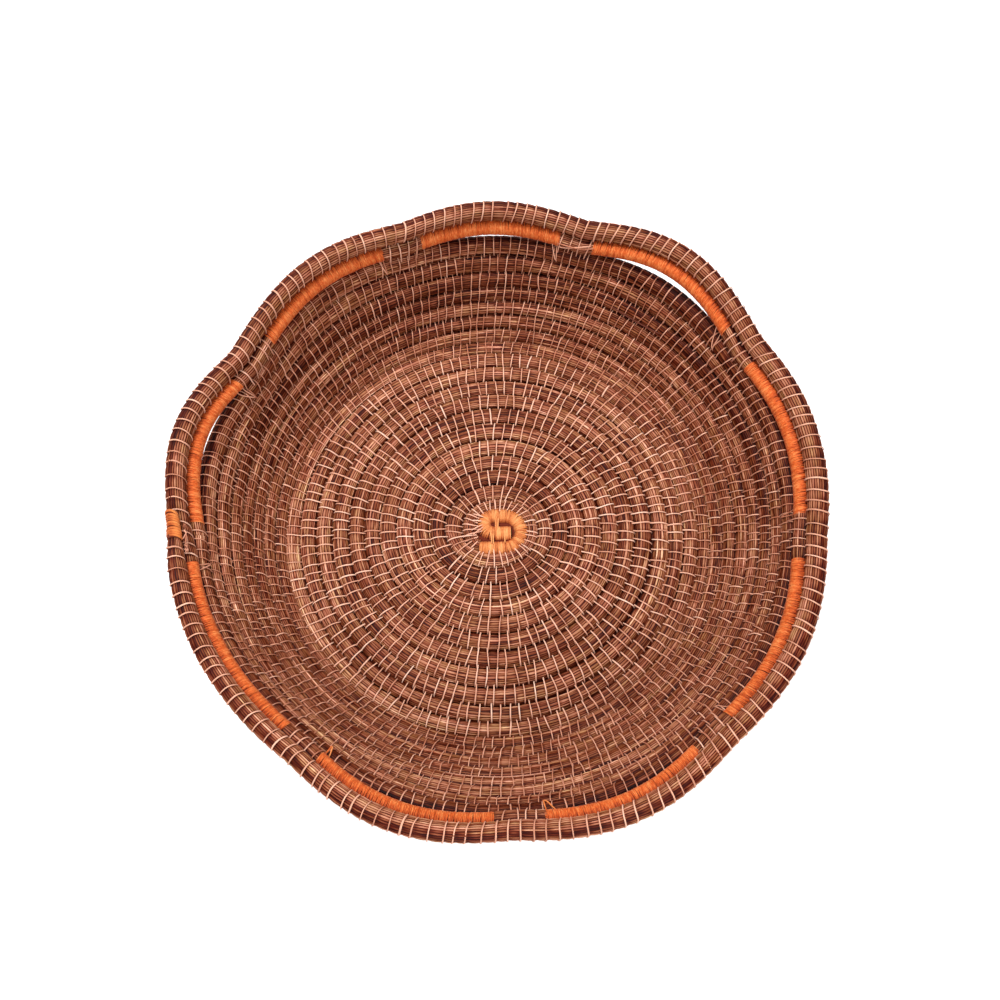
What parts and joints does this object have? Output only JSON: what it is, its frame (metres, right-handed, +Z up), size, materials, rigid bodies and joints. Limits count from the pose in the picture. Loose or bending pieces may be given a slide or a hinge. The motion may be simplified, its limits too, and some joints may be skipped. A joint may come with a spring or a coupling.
{
  "type": "pine needle basket",
  "caption": "Round coiled pine needle bowl basket with a flat base, flared wall, scalloped arches wound with raffia and a coiled rim.",
  "frame": {"origin": "centre of the outline on the plane the basket stands on", "axes": "+Z up out of the bowl, +Y to the far side in the picture, +X to its right"},
  "size_m": [0.3046, 0.311, 0.0817],
  "materials": {
    "needle_bundle": "matte",
    "rim_needle_bundle": "matte",
    "wrap_raffia": "satin",
    "start_raffia": "satin"
  },
  "bodies": {
    "root": {"centre_start": "start_raffia", "base_coil": "needle_bundle", "wall_coil": "needle_bundle", "arch_coil": "needle_bundle", "rim_coil": "rim_needle_bundle", "arch_wrap_1": "wrap_raffia", "arch_wrap_2": "wrap_raffia", "arch_wrap_3": "wrap_raffia", "arch_wrap_4": "wrap_raffia", "arch_wrap_5": "wrap_raffia", "arch_wrap_6": "wrap_raffia", "arch_wrap_7": "wrap_raffia", "arch_wrap_8": "wrap_raffia", "arch_wrap_9": "wrap_raffia", "rim_end_wrap": "wrap_raffia"}
  },
  "joints": []
}
